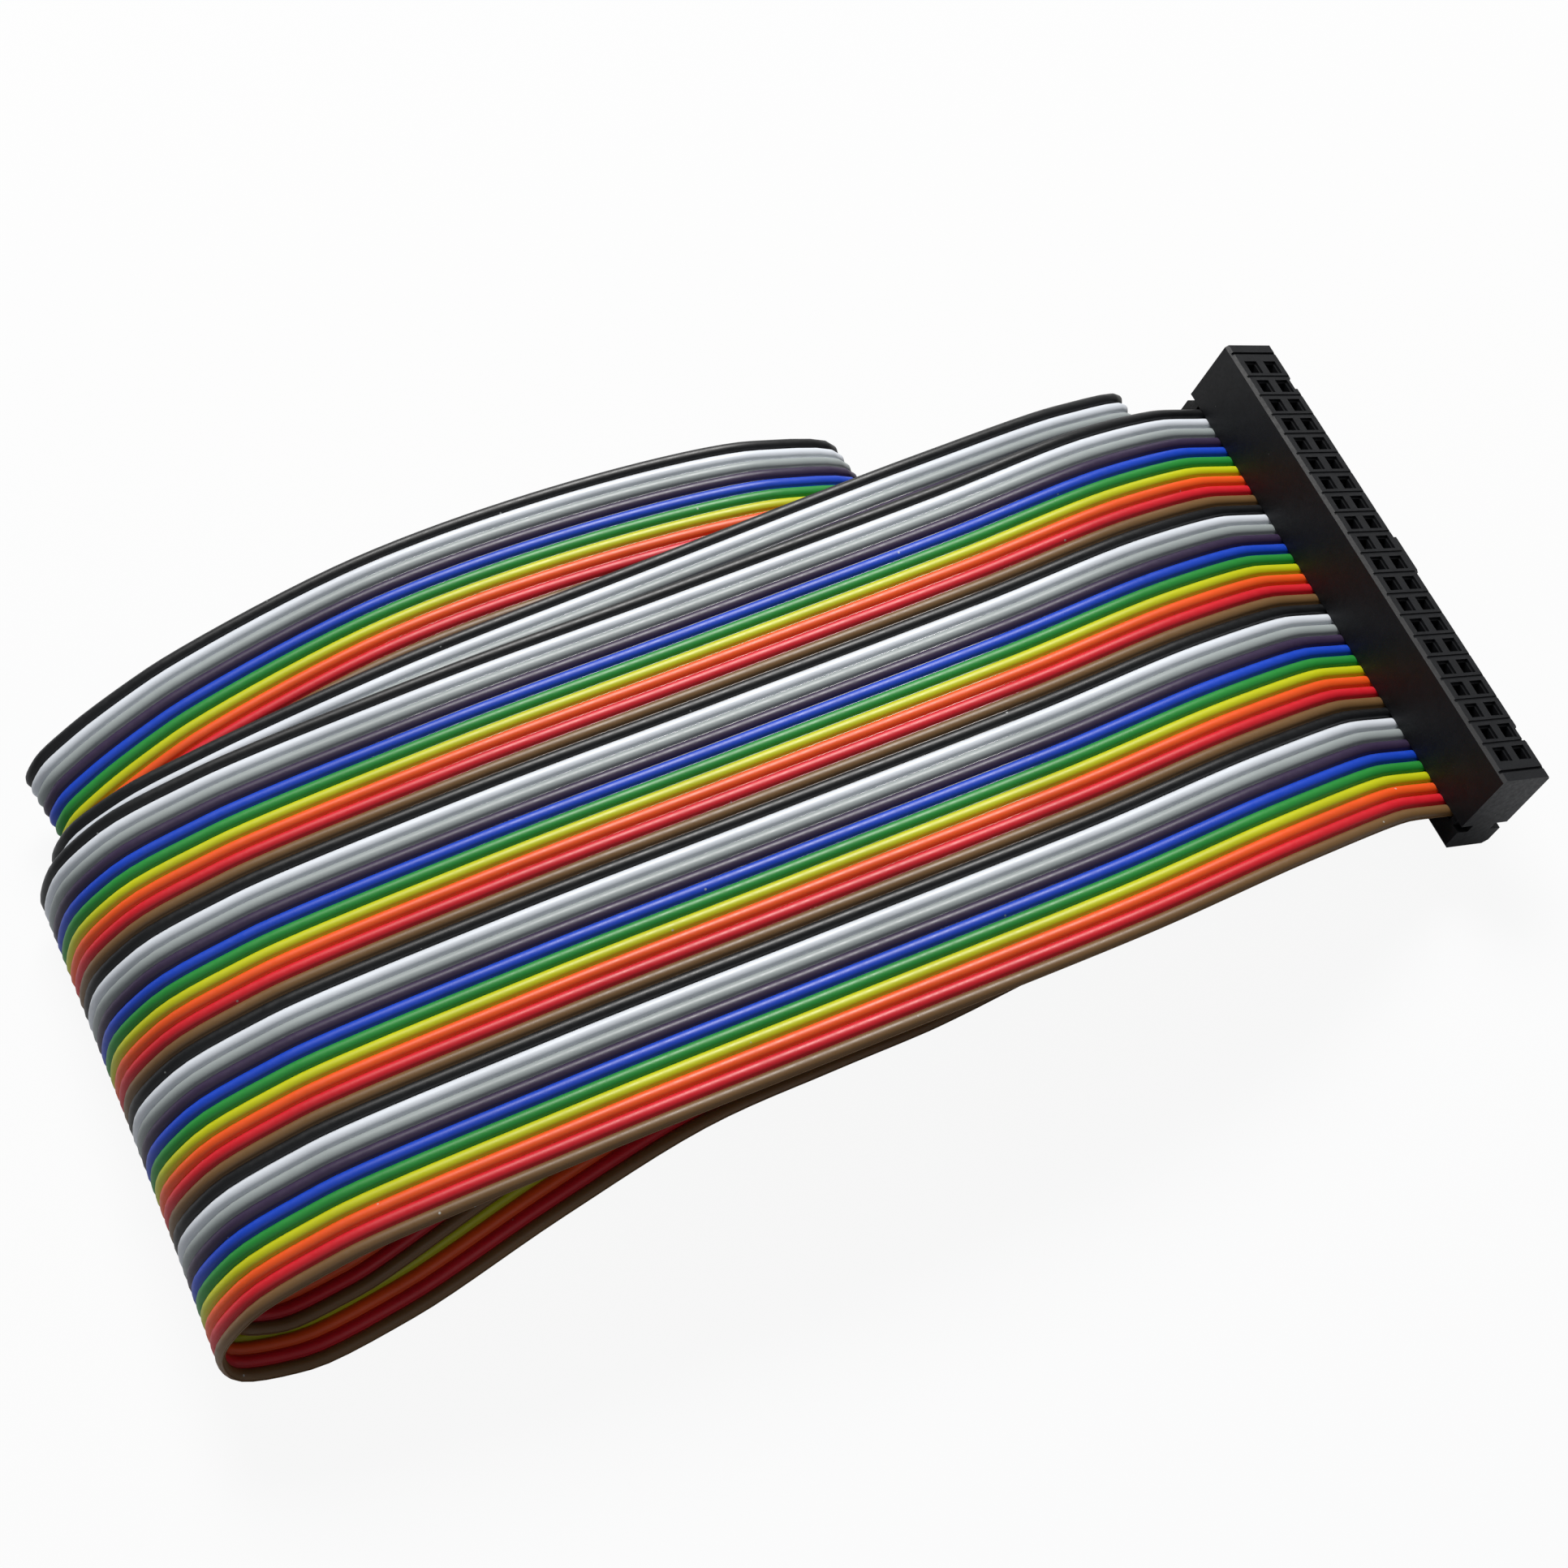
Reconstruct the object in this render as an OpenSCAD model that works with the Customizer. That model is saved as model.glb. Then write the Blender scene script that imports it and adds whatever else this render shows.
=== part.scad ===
// Flat multicolour ribbon cable with a 2 x 20 socket on each end, lying folded in a loose flat coil.
// X runs along the upper stretch towards the visible socket, Y across the ribbon, Z is up.
// The origin is on the surface that the coil lies on, below the middle of its outline.

/* [Ribbon] */
// Distance between neighbouring conductors
pitch = 1.27; // [1.2:0.01:1.28]
// Thickness of the insulation over one conductor
thick = 0.9; // [0.7:0.05:1]

/* [Socket] */
// Width of the socket across its two rows
socket_w = 6.1; // [5.8:0.1:6.4]
// Height of the mating face above the middle of the ribbon
face_h = 7.4; // [6.8:0.1:7.6]
// Depth of the cover's back below the middle of the ribbon
cover_h = 2.85; // [2.4:0.05:3.2]
// Thickness of the latch arm at each end of the socket
latch_t = 0.9; // [0.8:0.05:1.2]
// Thickness of the cover's pad between the ribbon's edge and the latch arm
pad_t = 0.6; // [0.4:0.05:1]
// Width of each square contact hole
hole_w = 1.2; // [1:0.05:1.3]
// Length of the polarising key along the socket
key_len = 4.1; // [3:0.1:5]
// How far the polarising key stands out
key_out = 0.95; // [0.6:0.05:1.1]
// Thickness of the contact metal
contact_t = 0.3; // [0.2:0.05:0.35]

/* [Hidden] */
conductors = 40;
holes = conductors / 2;
hole_pitch = 2 * pitch;   // between neighbouring holes in a row, and between the two rows
colours = ["saddlebrown", "crimson", "orangered", "gold", "seagreen",
           "royalblue", "rebeccapurple", "darkgray", "whitesmoke", "#191c20"];
colour_names = ["brown", "red", "orange", "yellow", "green", "blue", "violet", "grey", "white", "black"];

// Middle of the coil's outline in the route's own coordinates
centre = [68, 7.9];

// Route of the ribbon's middle line: x, y, z, turn about Z and tilt of the line across the ribbon
route = [
    // Upper stretch, from the visible socket to the left
    [129.6, 6, 3.8, 0, 0], [119.6, 5.9, 8.8, 0, 0], [108, 3.6, 14, -2, 0], [92, 1.6, 16.5, -2, -1],
    [64, 0.5, 17.8, -3, -2], [40, 0.4, 17.4, -3, -2], [18, 0.6, 15, -3, -2],
    // Outer left fold
    [9, 0.3, 12.2, -2, -1], [4.6, -0.1, 7.8, 0, 0], [4.1, -0.6, 3.2, 3, 0], [8.4, -1, 0.6, 6, 0],
    // Lowest stretch, lifted in an arch and then flat on the surface
    [18, -0.6, 2, 6, 0], [32, 0.9, 6.9, 7, 0], [46, 2.8, 9.2, 7, 0], [59, 5.2, 4.8, 7, 0],
    [69.4, 7, 1, 7, 0], [104, 10.4, 0.45, 4, 0],
    // Right fold
    [112, 10.4, 1.2, 3, 0], [117.2, 10.2, 4.2, 2, 0], [116.9, 9.8, 8, 0, 0], [109, 8.8, 11.2, -1, 0],
    // Second stretch from the top
    [92, 6.4, 14.8, -2, 0], [64, 4.8, 16.1, -3, -1], [38, 4, 15.5, -3, -1], [20, 3.4, 13.4, -3, -1],
    // Left fold nested in the outer one
    [11.6, 3, 11.2, -2, 0], [7, 2.8, 8.2, 0, 0], [5.9, 2.6, 5, 2, 0], [8, 2.4, 2.4, 5, 0],
    // Second stretch from the bottom
    [14, 2.8, 2.5, 7, 0], [31, 5, 8.1, 6, 0], [47, 7.6, 10.4, 5, 0], [61, 9.8, 6, 5, 0],
    [70.6, 11.6, 2.1, 6, 0], [82, 13.2, 2, 7, 0],
    // Fold under the second stretch
    [90.2, 13.8, 4.4, 7, 0], [90.8, 14.4, 9.6, 7, 0], [82, 15, 13.6, 5, 0],
    // Third stretch from the top
    [62, 16.6, 14.6, 0, 0], [38, 16.6, 13.9, 0, 0], [20, 14.4, 11.4, 3, 0],
    // Innermost left fold
    [13.5, 13, 9.1, 7, 0], [10.4, 12.2, 7.3, 9, 0], [9.5, 11.8, 5.4, 10, 0], [11.3, 11.6, 3.8, 10, 0],
    // Last stretch, to the socket inside the coil
    [19, 12, 5.9, 8, 0], [35, 12.2, 11.2, 4, 0], [48, 12, 12.2, 2, 0],
    [59.4, 11.6, 9.9, 0, 0], [69.6, 11.3, 5.7, -2, 0], [78.6, 11, 5.7, -2, 0]
];
last = len(route) - 1;

function unit(v) = v / norm(v);
function middle(i) = [route[i][0] - centre[0], route[i][1] - centre[1], route[i][2]];
function across(i) = let (yaw = route[i][3], tilt = route[i][4])
    [-sin(yaw) * cos(tilt), cos(yaw) * cos(tilt), sin(tilt)];
function along(i) = unit(
    (i < last ? unit(middle(i + 1) - middle(i)) : [0, 0, 0]) +
    (i > 0 ? unit(middle(i) - middle(i - 1)) : [0, 0, 0]));
function normal(i) = unit(cross(along(i), across(i)));

// Four corners of one conductor's insulation at route point i
function ring(i, k) = let (
    mid = middle(i) + (k - (conductors + 1) / 2) * pitch * across(i),
    side = across(i) * pitch / 2,
    top = normal(i) * thick / 2)
    [mid - side, mid + top, mid + side, mid - top];

// One insulated conductor, swept along the whole route
module conductor(k) {
    points = [for (i = [0:last]) each ring(i, k)];
    walls = [for (i = [0:last - 1], j = [0:3])
        let (a = 4 * i + j, b = 4 * i + (j + 1) % 4)
        each [[a, b, b + 4], [a, b + 4, a + 4]]];
    caps = [[3, 2, 1, 0], [for (j = [0:3]) 4 * last + j]];
    color(colours[(k - 1) % 10]) polyhedron(points, concat(walls, caps), convexity = 10);
}

// Names such as conductor_07_violet, from the near edge to the far edge
function conductor_name(k) = str("conductor_", k < 10 ? "0" : "", k, "_", colour_names[(k - 1) % 10]);

cut_inset = 2.9;   // from a socket's middle to the ribbon's cut end
eps = 0.01;

// Puts a socket on the ribbon's end at route point i, where step points from the cut end to the ribbon
module on_end(i, step) {
    u = across(i);
    back = middle(i + step) - middle(i);
    w = unit((back * u) * u - back);
    n = cross(w, u);
    c = middle(i) - cut_inset * w;
    multmatrix([
        [w[0], u[0], n[0], c[0]],
        [w[1], u[1], n[1], c[1]],
        [w[2], u[2], n[2], c[2]],
        [0, 0, 0, 1]]) children();
}
module socket_a() { on_end(0, 1) children(); }
module socket_b() { on_end(last, -1) children(); }

chamfer = 0.3;
half_w = socket_w / 2;
latch_w = 3;       // width of a latch arm
latch_top = 2.6;   // height of a latch arm above the ribbon's middle
hook_h = 1;        // height of a latch arm's hook
barb = 0.3;        // how far a latch arm's hook reaches into the housing
slot_gap = 0.2;    // between the ribbon's edge and the end of its slot
slot_end = conductors * pitch / 2 + slot_gap;
latch_inner = slot_end + pad_t;
socket_len = 2 * (latch_inner + latch_t);
cover_inset = 0.2;    // from the housing's long side to the cover's
cover_edge = 0.5;     // width of the sloped edges along the cover's back
lead_w = 1.6;         // width of the stepped mouth of a contact hole
lead_depth = 0.25;
floor_z = 2.2;        // bottom of a contact hole
groove_w = 0.3;
groove_depth = 0.1;
end_groove_in = 1.1;  // from the socket's end to the groove across its mating face
notch_y = 22;         // notch's distance from the middle of the socket
notch_len = 1.6;
notch_in = 0.6;
notch_depth = 2;
key_h = 4.6;
key_slope = 0.5;      // sloped top of the key

// Contact: a plate with a slit for a pin, and a foot with a notch that bites one conductor
plate_w = 0.9;
plate_low = 1.3;
plate_top = 6.4;
slit_w = 0.4;
slit_low = floor_z + 0.4;
foot_y = pitch / 2;   // conductor's distance from the middle of its hole
foot_w = 0.8;
foot_low = 0.5;
bite_w = 0.24;
bite_top = 1.2;
foot_reach = foot_y + plate_w / 2;

// Block that spans from low to high
module block(low, high) { translate(low) cube(high - low); }

// Mirrors across the middle of the socket where side is negative
module scale_y(side) { mirror([0, side < 0 ? 1 : 0, 0]) children(); }

// Extrudes an outline of width and height along the socket, centred
module along_socket(length) {
    translate([0, length / 2, 0]) rotate([90, 0, 0]) linear_extrude(length) children();
}

function hole_y(j) = (j - (holes + 1) / 2) * hole_pitch;

// Housing's outline seen from its end, then the key's and the cover's
module housing_outline() {
    polygon([
        [-half_w, thick / 2], [half_w, thick / 2], [half_w, face_h - chamfer], [half_w - chamfer, face_h],
        [chamfer - half_w, face_h], [-half_w, face_h - chamfer]]);
}
module key_outline() {
    out = half_w + key_out;
    polygon([
        [half_w - eps, face_h - key_h], [out, face_h - key_h], [out, face_h - chamfer - key_slope],
        [out - key_slope, face_h - chamfer], [half_w - eps, face_h - chamfer]]);
}
module cover_outline() {
    half = half_w - cover_inset;
    polygon([
        [-half, -thick / 2], [-half, cover_edge - cover_h], [cover_edge - half, -cover_h],
        [half - cover_edge, -cover_h], [half, cover_edge - cover_h], [half, -thick / 2]]);
}

// Groove of a given depth across the mating face
module face_groove(y, depth) {
    translate([0, y, face_h])
        block([-half_w - eps, -groove_w / 2, -depth], [half_w + eps, groove_w / 2, eps]);
}

// Moulded body with its contact holes, key, notches, grooves and latch recesses
module housing() {
    color("#26292d") difference() {
        union() {
            along_socket(socket_len) housing_outline();
            along_socket(key_len) key_outline();
        }
        for (j = [1:holes], side = [-1, 1]) translate([side * hole_pitch / 2, hole_y(j), 0]) {
            block([-hole_w / 2, -hole_w / 2, floor_z], [hole_w / 2, hole_w / 2, face_h + eps]);
            block([-lead_w / 2, -lead_w / 2, face_h - lead_depth], [lead_w / 2, lead_w / 2, face_h + eps]);
            scale_y(side) block([-contact_t / 2, -plate_w / 2, 0], [contact_t / 2, foot_reach, floor_z + eps]);
        }
        for (j = [1:holes - 1]) face_groove(hole_y(j) + hole_pitch / 2, groove_depth);
        for (side = [-1, 1]) {
            face_groove(side * (socket_len / 2 - end_groove_in), 2 * groove_depth);
            translate([half_w, side * notch_y, face_h])
                block([-notch_in, -notch_len / 2, -notch_depth], [eps, notch_len / 2, eps]);
            scale_y(side) latch_recess();
        }
    }
}
module latch_recess() {
    block([-latch_w / 2, latch_inner, 0], [latch_w / 2, socket_len / 2 + eps, latch_top]);
    block([-latch_w / 2, latch_inner - barb, latch_top - hook_h], [latch_w / 2, latch_inner + eps, latch_top]);
}

// Pressed-on back cover with its end pads and latch arms
module cover() {
    half = half_w - cover_inset;
    hook = latch_top - hook_h;
    color("#202327") {
        along_socket(socket_len) cover_outline();
        for (side = [-1, 1]) scale_y(side) {
            block([-half, slot_end, -thick / 2 - eps], [half, latch_inner + eps, thick / 2]);
            block([-latch_w / 2, latch_inner, -thick / 2 - eps], [latch_w / 2, socket_len / 2, latch_top]);
            block([-latch_w / 2, latch_inner - barb, hook], [latch_w / 2, latch_inner + eps, latch_top]);
        }
    }
}

// Flat contact, standing in the plane of its row
module contact(side) {
    scale_y(side) rotate([90, 0, 90]) translate([0, 0, -contact_t / 2]) linear_extrude(contact_t) difference() {
        union() {
            translate([-plate_w / 2, plate_low]) square([plate_w, plate_top - plate_low]);
            translate([-plate_w / 2, plate_low]) square([plate_w / 2 + foot_reach, floor_z - plate_low]);
            translate([foot_y - foot_w / 2, foot_low]) square([foot_w, floor_z - foot_low]);
        }
        translate([-slit_w / 2, slit_low]) square([slit_w, plate_top]);
        translate([foot_y - bite_w / 2, 0]) square([bite_w, bite_top]);
    }
}

// Row of contacts: side -1 is the row nearer the ribbon
module contacts(side) {
    color("goldenrod") for (j = [1:holes])
        translate([side * hole_pitch / 2, hole_y(j), 0]) contact(side);
}

for (k = [1:conductors])
    conductor(k);
socket_a() housing();  // housing_a
socket_a() cover();  // cover_a
socket_a() contacts(-1);  // contacts_a_inner
socket_a() contacts(1);  // contacts_a_outer
socket_b() housing();  // housing_b
socket_b() cover();  // cover_b
socket_b() contacts(-1);  // contacts_b_inner
socket_b() contacts(1);  // contacts_b_outer
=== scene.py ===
"""Flat multicolour ribbon cable with a black two-row socket on each end, folded in a loose flat coil."""
import math

import bpy
import numpy as np
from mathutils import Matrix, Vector


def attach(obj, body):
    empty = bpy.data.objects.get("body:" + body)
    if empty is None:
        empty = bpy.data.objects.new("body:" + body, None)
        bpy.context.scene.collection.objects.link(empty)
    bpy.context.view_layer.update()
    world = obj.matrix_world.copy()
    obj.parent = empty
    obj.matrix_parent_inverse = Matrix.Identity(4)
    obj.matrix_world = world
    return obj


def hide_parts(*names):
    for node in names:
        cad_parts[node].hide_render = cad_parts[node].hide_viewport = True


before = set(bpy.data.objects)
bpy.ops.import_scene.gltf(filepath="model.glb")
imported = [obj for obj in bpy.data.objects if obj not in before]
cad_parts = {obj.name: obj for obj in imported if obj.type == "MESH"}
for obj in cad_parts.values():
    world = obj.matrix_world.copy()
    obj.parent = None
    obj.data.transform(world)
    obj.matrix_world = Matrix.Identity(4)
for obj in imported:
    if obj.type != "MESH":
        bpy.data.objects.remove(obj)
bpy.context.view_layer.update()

# Ribbon, in metres
PITCH = 0.00127
THICK = 0.0009
CONDUCTORS = 40
RADIUS = THICK / 2
RIDGE = 0.00058          # half the width of the ridge over one conductor
RIDGE_ENDS = 9           # where the ridge meets the web, in degrees round the ridge
RIDGE_POINTS = 9         # points over one ridge
RING_STEP = 0.0024       # longest distance between two rings of a conductor's mesh
RINGS_PER_SPAN = 5       # fewest rings between two rows of the route
REACH = 1.2              # how far a span follows its end's direction, in lengths of its neighbour
SOCKET_SHARE = 0.6       # share of the first span that lies straight inside a socket
CENTRE = (0.068, 0.0079)  # where the part's own origin lies in the route's x and y

# Route of the ribbon's middle line: x, y, z in metres, turn about Z and tilt across, in degrees
ROUTE = [
    # Upper stretch, from the visible socket to the left
    (0.1296, 0.006, 0.0038, 0, 0), (0.1196, 0.0059, 0.0088, 0, 0), (0.108, 0.0036, 0.014, -2, 0),
    (0.092, 0.0016, 0.0165, -2, -1),
    (0.064, 0.0005, 0.0178, -3, -2), (0.04, 0.0004, 0.0174, -3, -2), (0.018, 0.0006, 0.015, -3, -2),
    # Outer left fold
    (0.009, 0.0003, 0.0122, -2, -1), (0.0046, -0.0001, 0.0078, 0, 0), (0.0041, -0.0006, 0.0032, 3, 0),
    (0.0084, -0.001, 0.0006, 6, 0),
    # Lowest stretch, lifted in an arch and then flat on the surface
    (0.018, -0.0006, 0.002, 6, 0), (0.032, 0.0009, 0.0069, 7, 0), (0.046, 0.0028, 0.0092, 7, 0),
    (0.059, 0.0052, 0.0048, 7, 0),
    (0.0694, 0.007, 0.001, 7, 0), (0.104, 0.0104, 0.00045, 4, 0),
    # Right fold
    (0.112, 0.0104, 0.0012, 3, 0), (0.1172, 0.0102, 0.0042, 2, 0), (0.1169, 0.0098, 0.008, 0, 0),
    (0.109, 0.0088, 0.0112, -1, 0),
    # Second stretch from the top
    (0.092, 0.0064, 0.0148, -2, 0), (0.064, 0.0048, 0.0161, -3, -1), (0.038, 0.004, 0.0155, -3, -1),
    (0.02, 0.0034, 0.0134, -3, -1),
    # Left fold nested in the outer one
    (0.0116, 0.003, 0.0112, -2, 0), (0.007, 0.0028, 0.0082, 0, 0), (0.0059, 0.0026, 0.005, 2, 0),
    (0.008, 0.0024, 0.0024, 5, 0),
    # Second stretch from the bottom
    (0.014, 0.0028, 0.0025, 7, 0), (0.031, 0.005, 0.0081, 6, 0), (0.047, 0.0076, 0.0104, 5, 0),
    (0.061, 0.0098, 0.006, 5, 0),
    (0.0706, 0.0116, 0.0021, 6, 0), (0.082, 0.0132, 0.002, 7, 0),
    # Fold under the second stretch
    (0.0902, 0.0138, 0.0044, 7, 0), (0.0908, 0.0144, 0.0096, 7, 0), (0.082, 0.015, 0.0136, 5, 0),
    # Third stretch from the top
    (0.062, 0.0166, 0.0146, 0, 0), (0.038, 0.0166, 0.0139, 0, 0), (0.02, 0.0144, 0.0114, 3, 0),
    # Innermost left fold
    (0.0135, 0.013, 0.0091, 7, 0), (0.0104, 0.0122, 0.0073, 9, 0), (0.0095, 0.0118, 0.0054, 10, 0),
    (0.0113, 0.0116, 0.0038, 10, 0),
    # Last stretch, to the socket inside the coil
    (0.019, 0.012, 0.0059, 8, 0), (0.035, 0.0122, 0.0112, 4, 0), (0.048, 0.012, 0.0122, 2, 0),
    (0.0594, 0.0116, 0.0099, 0, 0), (0.0696, 0.0113, 0.0057, -2, 0), (0.0786, 0.011, 0.0057, -2, 0),
]

# Colours, from the near edge to the far edge, as sRGB values
COLOURS = {
    "brown": (0.45, 0.33, 0.19),
    "red": (0.82, 0.09, 0.15),
    "orange": (0.93, 0.33, 0.08),
    "yellow": (0.76, 0.77, 0.02),
    "green": (0.13, 0.54, 0.20),
    "blue": (0.05, 0.26, 0.75),
    "violet": (0.20, 0.145, 0.26),
    "grey": (0.60, 0.63, 0.63),
    "white": (0.86, 0.88, 0.91),
    "black": (0.045, 0.05, 0.06),
}
COLOUR_NAMES = list(COLOURS)
SOCKET_COLOUR = (0.031, 0.036, 0.050)
COVER_COLOUR = (0.032, 0.035, 0.042)
GOLD_COLOUR = (0.80, 0.62, 0.30)
WIRE_DUST = (0.72, 0.73, 0.72)
SOCKET_DUST = (0.42, 0.43, 0.45)

WIRE_IOR = 1.5
SOCKET_IOR = 1.42
FLOOR_IOR = 1.3
WEB_ROUGHNESS = 0.13
FLOOR_ROUGHNESS = 0.8

# Softened edges of the sockets' mouldings
EDGE_WIDTH = 0.00008
EDGE_SEGMENTS = 2
EDGE_ANGLE = 40          # edges sharper than this are softened, in degrees

# Camera: the point it looks at, its distance, heading and height angle, and its lens
LOOK_AT = (0.0007, -0.0015, 0.009)
DISTANCE = 0.2675
HEADING = 23.16
HEIGHT_ANGLE = 59.79
SENSOR = 36
LENS = 67.04
CLIP_START, CLIP_END = 0.01, 20

FLOOR_SIZE = 3.0
FLOOR_COLOUR = (0.83, 0.825, 0.82)
FLOOR_TINT = (0.80, 0.81, 0.83)
FLOOR_GLOW = 0.92        # share of the floor's look that is plain white to the camera

# Lamps: name, place, size, power in watts and colour
KEY_LAMP = ("key", (0.16, 0.51, 0.56), (0.42, 0.3), 7.6, (1.0, 0.99, 0.97))
FILL_LAMP = ("fill", (-0.5, -0.45, 0.6), (0.6, 0.5), 0.25, (0.96, 0.98, 1.0))
SKY_COLOUR = (0.93, 0.96, 1.0, 1)
SKY_STRENGTH = 0.2
WHITE = (1, 1, 1, 1)


def linear(colour):
    """An sRGB colour as the linear values that a shader socket takes."""
    return [c / 12.92 if c < 0.04045 else ((c + 0.055) / 1.055) ** 2.4 for c in colour] + [1.0]


def camera():
    """The camera at the photograph's viewing angle."""
    heading = math.radians(HEADING)
    height = math.radians(HEIGHT_ANGLE)
    forward = Vector((
        math.sin(heading) * math.cos(height),
        math.cos(heading) * math.cos(height),
        -math.sin(height)))
    data = bpy.data.cameras.new("camera")
    data.sensor_width = SENSOR
    data.lens = LENS
    data.clip_start, data.clip_end = CLIP_START, CLIP_END
    obj = bpy.data.objects.new("camera", data)
    obj.location = Vector(LOOK_AT) - forward * DISTANCE
    obj.rotation_mode = "QUATERNION"
    obj.rotation_quaternion = forward.to_track_quat("-Z", "Y")
    bpy.context.scene.collection.objects.link(obj)
    bpy.context.scene.camera = obj


def knots():
    """The route round the part's origin, with one more row inside each socket to keep it straight."""
    rows = np.array(ROUTE, float)
    rows[:, 0] -= CENTRE[0]
    rows[:, 1] -= CENTRE[1]
    first = rows[0] + SOCKET_SHARE * (rows[1] - rows[0])
    last = rows[-1] + SOCKET_SHARE * (rows[-2] - rows[-1])
    return np.vstack([rows[0], first, rows[1:-1], last, rows[-1]])


def smooth(rows):
    """Rows along one smooth curve through the given rows, whose spans may differ in length."""
    chord = np.linalg.norm(np.diff(rows[:, :3], axis=0), axis=1)
    slope = np.diff(rows, axis=0) / chord[:, None]
    weight = (chord[1:] / (chord[1:] + chord[:-1]))[:, None]
    tangent = np.vstack([slope[0], weight * slope[:-1] + (1 - weight) * slope[1:], slope[-1]])
    before = np.minimum(chord, REACH * np.append(chord[0], chord[:-1]))
    after = np.minimum(chord, REACH * np.append(chord[1:], chord[-1]))
    out = []
    for i, size in enumerate(chord):
        steps = max(RINGS_PER_SPAN, math.ceil(size / RING_STEP))
        for t in np.arange(steps) / steps:
            out.append(
                (1 + 2 * t) * (1 - t) ** 2 * rows[i]
                + t ** 2 * (3 - 2 * t) * rows[i + 1]
                + t * (1 - t) ** 2 * before[i] * tangent[i]
                + t ** 2 * (t - 1) * after[i] * tangent[i + 1])
    out.append(rows[-1])
    rows = np.array(out)
    rows[:, 2] = np.maximum(rows[:, 2], RADIUS)
    return rows


def frames(rows):
    """The ribbon's middle, its direction across and its normal at each row."""
    middle = rows[:, :3]
    yaw, tilt = np.radians(rows[:, 3]), np.radians(rows[:, 4])
    across = np.stack([-np.sin(yaw) * np.cos(tilt), np.cos(yaw) * np.cos(tilt), np.sin(tilt)], 1)
    along = np.gradient(middle, axis=0)
    normal = np.cross(along, across)
    normal /= np.linalg.norm(normal, axis=1)[:, None]
    return middle, across, normal


def section():
    """Outline of one conductor's insulation: a round ridge above and below, with a thin web at each side."""
    half = PITCH / 2
    angles = np.radians(np.linspace(180 - RIDGE_ENDS, RIDGE_ENDS, RIDGE_POINTS))
    ridge = [(RIDGE * math.cos(a), RADIUS * math.sin(a)) for a in angles]
    web = ridge[0][1]
    upper = [(-half, web)] + ridge + [(half, web)]
    return upper + [(x, -h) for x, h in reversed(upper)]


def mesh_object(name, points, faces, flat=()):
    """A linked mesh object, smooth apart from the faces whose numbers are in flat."""
    mesh = bpy.data.meshes.new(name)
    mesh.from_pydata([tuple(p) for p in points], [], faces)
    mesh.polygons.foreach_set("use_smooth", [i not in flat for i in range(len(faces))])
    mesh.validate()
    mesh.update()
    obj = bpy.data.objects.new(name, mesh)
    bpy.context.scene.collection.objects.link(obj)
    return obj


def sweep(outline, centre, across, normal):
    """The outline swept along a line: points, faces and the numbers of the flat faces."""
    n = len(outline)
    points = np.stack([centre + x * across + h * normal for x, h in outline], 1).reshape(-1, 3)
    faces, flat = [], set()
    for i in range(len(centre) - 1):
        for j in range(n):
            a, b = i * n + j, i * n + (j + 1) % n
            if outline[j][1] == outline[(j + 1) % n][1]:
                flat.add(len(faces))
            faces.append((a, a + n, b + n, b))
    end = (len(centre) - 1) * n
    faces.append(tuple(range(n)))
    faces.append(tuple(reversed(range(end, end + n))))
    flat |= {len(faces) - 2, len(faces) - 1}
    return points, faces, flat


def conductor(k, middle, across, normal):
    """One insulated conductor of the ribbon, along the whole route."""
    centre = middle + (k - (CONDUCTORS + 1) / 2) * PITCH * across
    points, faces, flat = sweep(section(), centre, across, normal)
    colour = COLOUR_NAMES[(k - 1) % len(COLOUR_NAMES)]
    node = f"conductor_{k:02d}_{colour}"
    obj = mesh_object(f"wire_{k:02d}_{colour}", points, faces, flat)
    gloss = obj.data.attributes.new("web", "FLOAT", "FACE")
    gloss.data.foreach_set("value", [float(i in flat) for i in range(len(faces))])
    obj.data.materials.append(insulation(colour))
    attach(obj, "root")
    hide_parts(node)


def new_material(name):
    """A new material with a Principled shader, as the material, its node tree and the shader."""
    mat = bpy.data.materials.new(name)
    mat.use_nodes = True
    tree = mat.node_tree
    tree.nodes.clear()
    shader = tree.nodes.new("ShaderNodeBsdfPrincipled")
    out = tree.nodes.new("ShaderNodeOutputMaterial")
    tree.links.new(shader.outputs["BSDF"], out.inputs["Surface"])
    return mat, tree, shader


def noise(tree, scale, detail=2.0, stretch=(1, 1, 1)):
    """Noise in the object's own coordinates, stretched by the given factors."""
    place = tree.nodes.new("ShaderNodeTexCoord")
    mapping = tree.nodes.new("ShaderNodeMapping")
    mapping.inputs["Scale"].default_value = stretch
    tex = tree.nodes.new("ShaderNodeTexNoise")
    tex.inputs["Scale"].default_value = scale
    tex.inputs["Detail"].default_value = detail
    tree.links.new(place.outputs["Object"], mapping.inputs["Vector"])
    tree.links.new(mapping.outputs["Vector"], tex.inputs["Vector"])
    return tex.outputs["Fac"]


def span(tree, value, low, high, from_low=0.3, from_high=0.7):
    """Maps a value from one range to another, by default from a noise's usual range."""
    node = tree.nodes.new("ShaderNodeMapRange")
    node.inputs["From Min"].default_value = from_low
    node.inputs["From Max"].default_value = from_high
    node.inputs["To Min"].default_value = low
    node.inputs["To Max"].default_value = high
    tree.links.new(value, node.inputs["Value"])
    return node.outputs["Result"]


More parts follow.
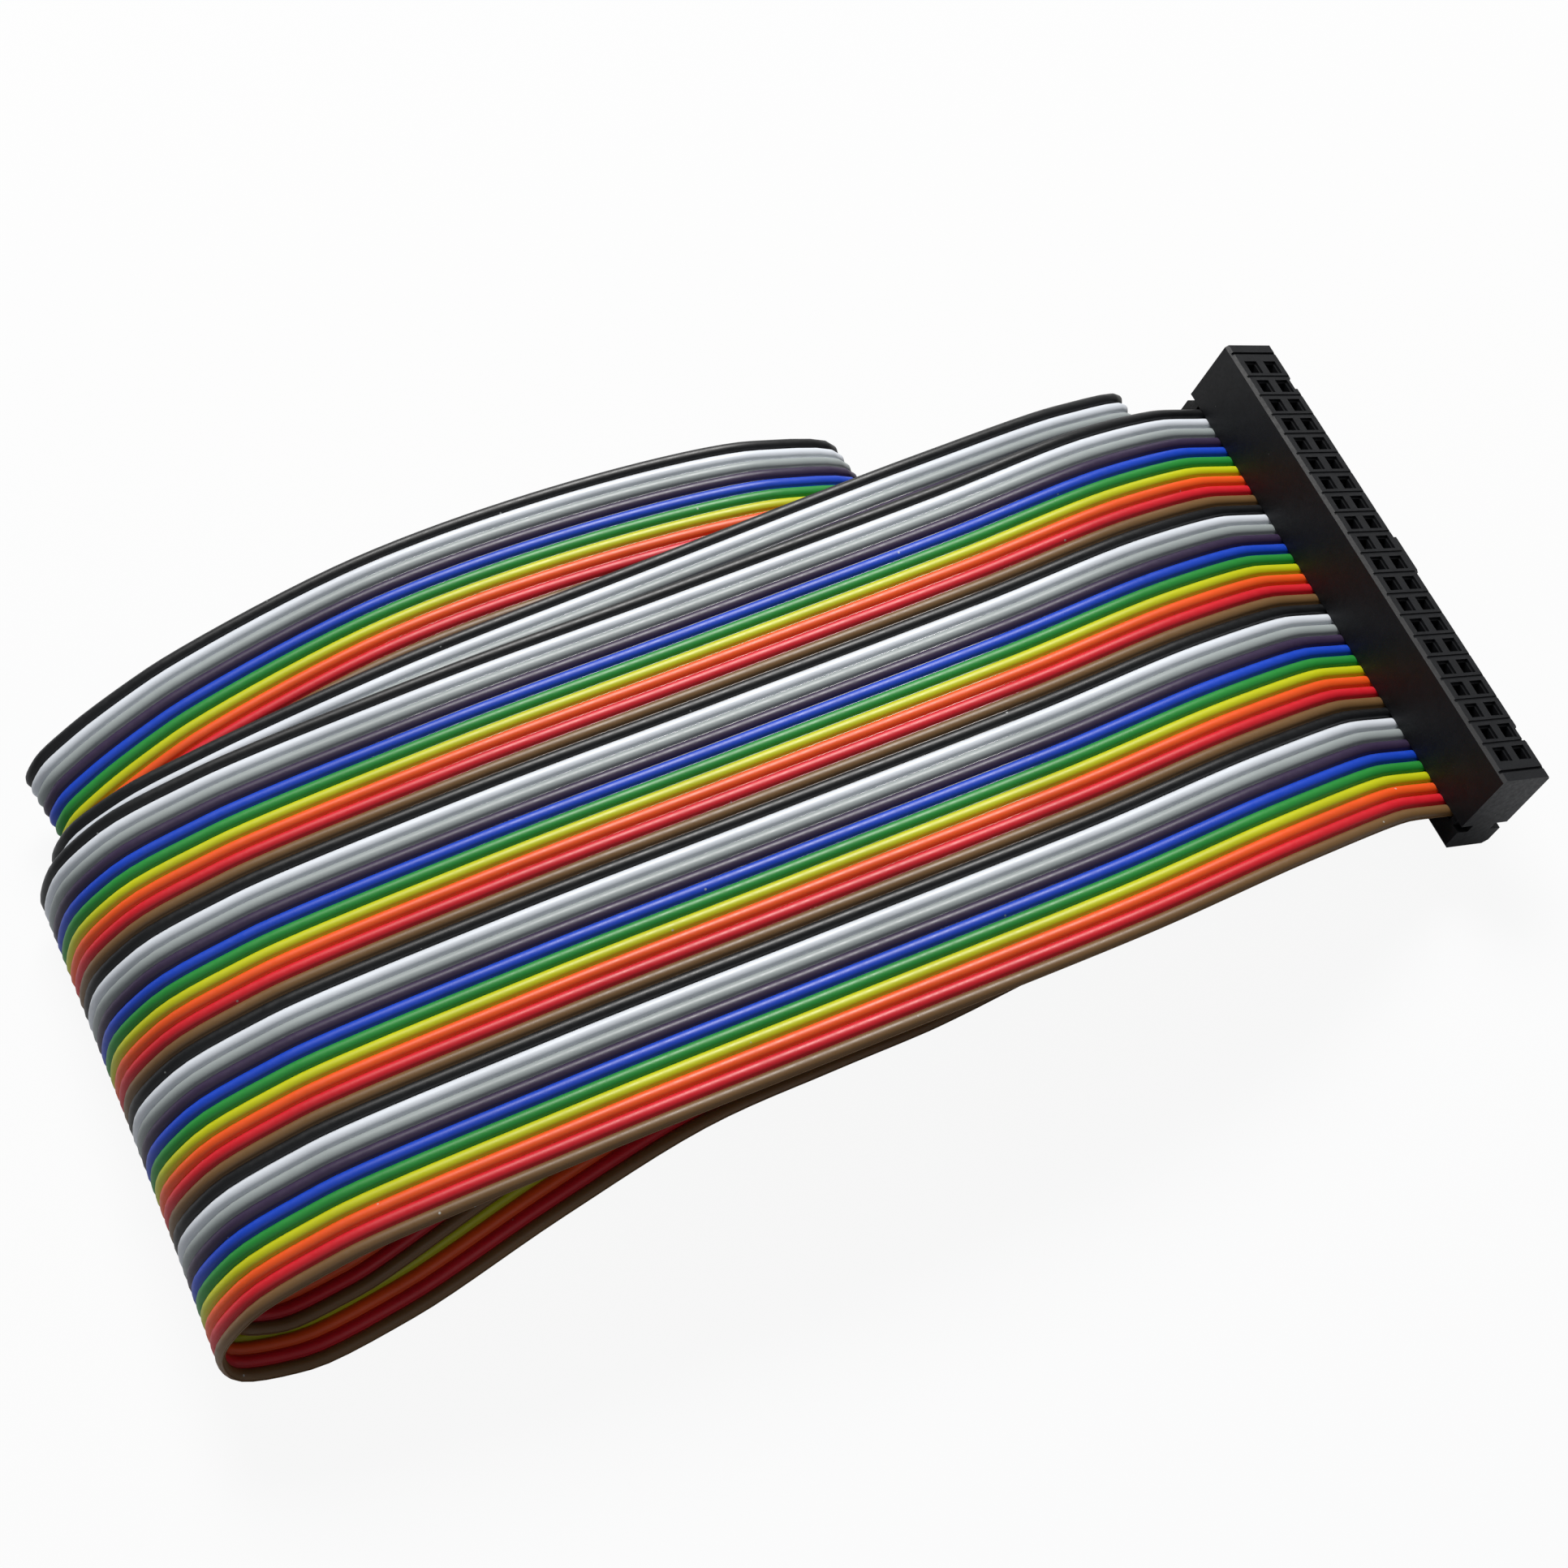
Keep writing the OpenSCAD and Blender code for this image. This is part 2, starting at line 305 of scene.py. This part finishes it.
def mix(tree, factor, a, b):
    """Mixes a and b, each a colour or a socket, by the socket factor."""
    node = tree.nodes.new("ShaderNodeMix")
    node.data_type = "RGBA"
    tree.links.new(factor, node.inputs["Factor"])
    for socket, value in ((node.inputs["A"], a), (node.inputs["B"], b)):
        if isinstance(value, bpy.types.NodeSocket):
            tree.links.new(value, socket)
        else:
            socket.default_value = value
    return node.outputs["Result"]


def bump(tree, shader, height, strength, distance):
    """Fine relief from a height value."""
    node = tree.nodes.new("ShaderNodeBump")
    node.inputs["Strength"].default_value = strength
    node.inputs["Distance"].default_value = distance
    tree.links.new(height, node.inputs["Height"])
    tree.links.new(node.outputs["Normal"], shader.inputs["Normal"])


def specks(tree, scale, size):
    """1 on a few tiny dust specks and 0 elsewhere."""
    place = tree.nodes.new("ShaderNodeTexCoord")
    cells = tree.nodes.new("ShaderNodeTexVoronoi")
    cells.inputs["Scale"].default_value = scale
    tree.links.new(place.outputs["Object"], cells.inputs["Vector"])
    return span(tree, cells.outputs["Distance"], 0.8, 0.0, size * 0.5, size)


def insulation(colour):
    """Satin PVC whose colour drifts a little, with fine grain, dust specks and glossy webs."""
    name = f"pvc_{colour}"
    if name in bpy.data.materials:
        return bpy.data.materials[name]
    mat, tree, shader = new_material(name)
    base = linear(COLOURS[colour])
    darker = [c * 0.86 for c in base[:3]] + [1]
    drift = span(tree, noise(tree, 90, 3), 0, 1)
    tone = mix(tree, drift, base, darker)
    dust = mix(tree, specks(tree, 260, 0.035), tone, linear(WIRE_DUST))
    tree.links.new(dust, shader.inputs["Base Color"])
    web = tree.nodes.new("ShaderNodeAttribute")
    web.attribute_name = "web"
    gloss = tree.nodes.new("ShaderNodeMix")
    tree.links.new(web.outputs["Fac"], gloss.inputs["Factor"])
    tree.links.new(span(tree, noise(tree, 1500, 3), 0.36, 0.48), gloss.inputs["A"])
    gloss.inputs["B"].default_value = WEB_ROUGHNESS
    tree.links.new(gloss.outputs["Result"], shader.inputs["Roughness"])
    shader.inputs["IOR"].default_value = WIRE_IOR
    bump(tree, shader, noise(tree, 5200, 2), 0.12, 0.00002)
    return mat


def moulded_plastic(name, colour):
    """Black moulded plastic in two close tones, with a fine spark-eroded grain and dust specks."""
    mat, tree, shader = new_material(name)
    base = linear(colour)
    paler = [min(1, c * 1.5 + 0.002) for c in base[:3]] + [1]
    tone = mix(tree, span(tree, noise(tree, 700, 4), 0, 1), base, paler)
    dust = mix(tree, specks(tree, 420, 0.03), tone, linear(SOCKET_DUST))
    tree.links.new(dust, shader.inputs["Base Color"])
    tree.links.new(span(tree, noise(tree, 2600, 3), 0.42, 0.56), shader.inputs["Roughness"])
    shader.inputs["IOR"].default_value = SOCKET_IOR
    bump(tree, shader, noise(tree, 9000, 3), 0.25, 0.00003)
    return mat


def contact_metal():
    """Gold-flashed contact metal with fine rolling marks."""
    mat, tree, shader = new_material("contact_gold")
    base = linear(GOLD_COLOUR)
    duller = [c * 0.75 for c in base[:3]] + [1]
    tone = mix(tree, span(tree, noise(tree, 1800, 3), 0, 1), base, duller)
    tree.links.new(tone, shader.inputs["Base Color"])
    shader.inputs["Metallic"].default_value = 1
    tree.links.new(span(tree, noise(tree, 6000, 2, (1, 6, 1)), 0.24, 0.4), shader.inputs["Roughness"])
    return mat


def soften(obj):
    """Small rounded edges on a moulding."""
    bevel = obj.modifiers.new("edges", "BEVEL")
    bevel.width = EDGE_WIDTH
    bevel.segments = EDGE_SEGMENTS
    bevel.limit_method = "ANGLE"
    bevel.angle_limit = math.radians(EDGE_ANGLE)
    bevel.harden_normals = False


def dress_socket(letter, plastic, cover_plastic, metal):
    """Materials and softened edges for one socket's pieces."""
    for part, mat in (("housing", plastic), ("cover", cover_plastic), ("contacts", metal)):
        for name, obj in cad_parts.items():
            if name.startswith(f"{part}_{letter}"):
                obj.data.materials.clear()
                obj.data.materials.append(mat)
                if part != "contacts":
                    soften(obj)


def floor():
    """Pale surface that keeps the shadow and shows nearly white to the camera."""
    half = FLOOR_SIZE / 2
    corners = [(-half, -half, 0), (half, -half, 0), (half, half, 0), (-half, half, 0)]
    obj = mesh_object("floor", corners, [(0, 1, 2, 3)])
    mat, tree, shader = new_material("white_table")
    tone = mix(tree, span(tree, noise(tree, 6, 2), 0, 1), linear(FLOOR_COLOUR), linear(FLOOR_TINT))
    tree.links.new(tone, shader.inputs["Base Color"])
    shader.inputs["Roughness"].default_value = FLOOR_ROUGHNESS
    shader.inputs["IOR"].default_value = FLOOR_IOR
    glow = tree.nodes.new("ShaderNodeEmission")
    glow.inputs["Color"].default_value = WHITE
    path = tree.nodes.new("ShaderNodeLightPath")
    share = tree.nodes.new("ShaderNodeMath")
    share.operation = "MULTIPLY"
    share.inputs[1].default_value = FLOOR_GLOW
    tree.links.new(path.outputs["Is Camera Ray"], share.inputs[0])
    blend = tree.nodes.new("ShaderNodeMixShader")
    tree.links.new(share.outputs[0], blend.inputs["Fac"])
    tree.links.new(shader.outputs["BSDF"], blend.inputs[1])
    tree.links.new(glow.outputs["Emission"], blend.inputs[2])
    out = next(n for n in tree.nodes if n.type == "OUTPUT_MATERIAL")
    tree.links.new(blend.outputs[0], out.inputs["Surface"])
    obj.data.materials.append(mat)


def area_light(name, place, size, power, colour):
    """A soft rectangular lamp that faces the part."""
    data = bpy.data.lights.new(name, "AREA")
    data.shape = "RECTANGLE"
    data.size, data.size_y = size
    data.energy = power
    data.color = colour
    obj = bpy.data.objects.new(name, data)
    obj.location = place
    obj.rotation_mode = "QUATERNION"
    obj.rotation_quaternion = (-Vector(place)).to_track_quat("-Z", "Y")
    bpy.context.scene.collection.objects.link(obj)


def lights():
    """Two lamps, and a pale sky that shows white to the camera."""
    area_light(*KEY_LAMP)
    area_light(*FILL_LAMP)
    world = bpy.data.worlds.new("studio")
    bpy.context.scene.world = world
    world.use_nodes = True
    tree = world.node_tree
    tree.nodes.clear()
    path = tree.nodes.new("ShaderNodeLightPath")
    back = tree.nodes.new("ShaderNodeBackground")
    back.inputs["Color"].default_value = SKY_COLOUR
    back.inputs["Strength"].default_value = SKY_STRENGTH
    white = tree.nodes.new("ShaderNodeBackground")
    white.inputs["Strength"].default_value = 1.0
    white.inputs["Color"].default_value = WHITE
    blend = tree.nodes.new("ShaderNodeMixShader")
    out = tree.nodes.new("ShaderNodeOutputWorld")
    tree.links.new(path.outputs["Is Camera Ray"], blend.inputs["Fac"])
    tree.links.new(back.outputs[0], blend.inputs[1])
    tree.links.new(white.outputs[0], blend.inputs[2])
    tree.links.new(blend.outputs[0], out.inputs["Surface"])


bpy.context.scene.view_settings.view_transform = "Standard"
camera()
MIDDLE, ACROSS, NORMAL = frames(smooth(knots()))
for number in range(1, CONDUCTORS + 1):
    conductor(number, MIDDLE, ACROSS, NORMAL)
PLASTIC = moulded_plastic("socket_black", SOCKET_COLOUR)
COVER_PLASTIC = moulded_plastic("cover_black", COVER_COLOUR)
METAL = contact_metal()
for socket in "ab":
    dress_socket(socket, PLASTIC, COVER_PLASTIC, METAL)
floor()
lights()
